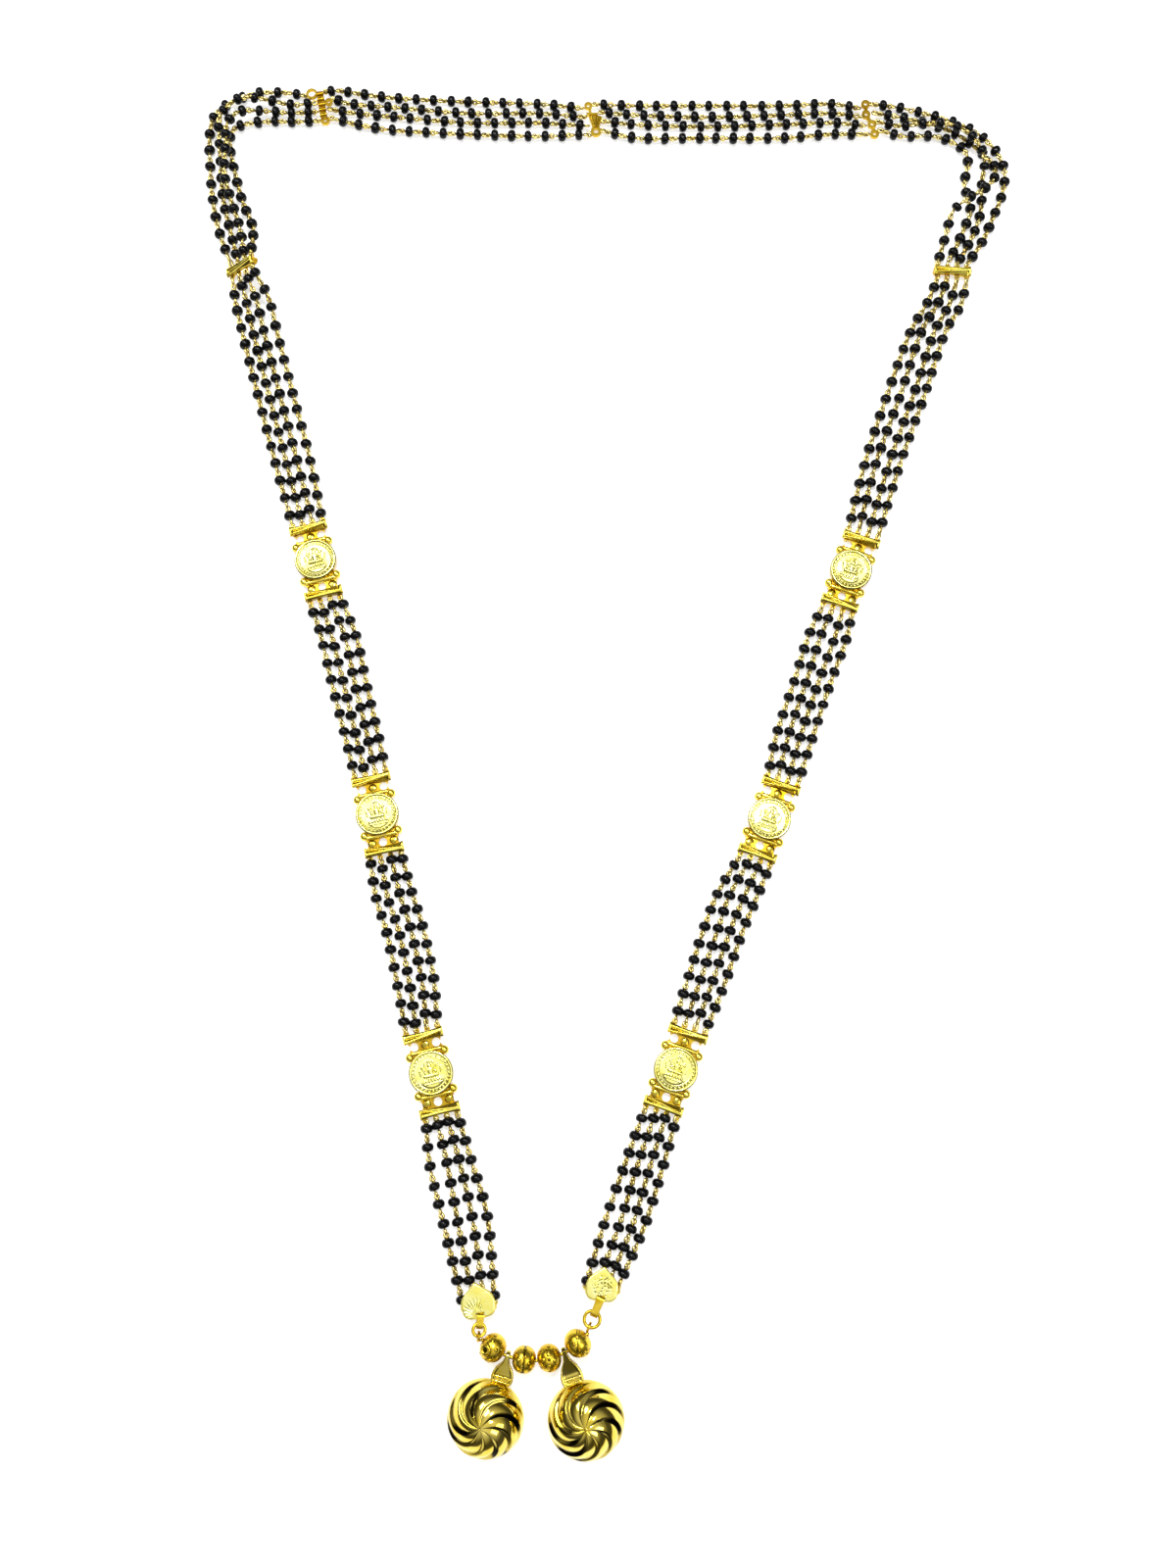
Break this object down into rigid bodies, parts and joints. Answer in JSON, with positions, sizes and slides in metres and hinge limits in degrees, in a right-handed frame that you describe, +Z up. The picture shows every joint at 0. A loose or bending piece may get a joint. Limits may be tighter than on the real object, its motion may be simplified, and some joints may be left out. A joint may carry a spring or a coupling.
{
  "type": "mangalsutra necklace",
  "caption": "Long necklace of black seed bead strands with gold coin links, spacer bars, two heart plates and a pair of fluted cup pendants.",
  "frame": {"origin": "centre of the laid out necklace's outline, on the table it lies on", "axes": "+Z up from the table; +Y from the pendants towards the back of the neck; +X to the right as seen from above"},
  "size_m": [0.1884, 0.305, 0.008],
  "materials": {
    "gold": "polished gold plating",
    "seed_beads": "glossy black"
  },
  "bodies": {
    "root": {"left_coin_link_1": "gold", "left_coin_link_2": "gold", "left_coin_link_3": "gold", "right_coin_link_1": "gold", "right_coin_link_2": "gold", "right_coin_link_3": "gold", "left_spacer_bar": "gold", "right_spacer_bar": "gold", "top_spacer_left": "gold", "top_spacer_middle": "gold", "top_spacer_right": "gold", "left_heart": "gold", "right_heart": "gold", "left_heart_link": "gold", "right_heart_link": "gold", "left_jump_ring": "gold", "right_jump_ring": "gold", "pendant_wire": "gold", "gold_bead_1": "gold", "gold_bead_2": "gold", "gold_bead_3": "gold", "gold_bead_4": "gold", "left_vati": "gold", "right_vati": "gold", "left_strings_1": "seed_beads", "left_strings_2": "seed_beads", "left_strings_3": "seed_beads", "left_strings_4": "seed_beads", "left_strings_5": "seed_beads", "right_strings_1": "seed_beads", "right_strings_2": "seed_beads", "right_strings_3": "seed_beads", "right_strings_4": "seed_beads", "right_strings_5": "seed_beads", "top_strings_left": "seed_beads", "top_strings_right": "seed_beads"}
  },
  "joints": []
}
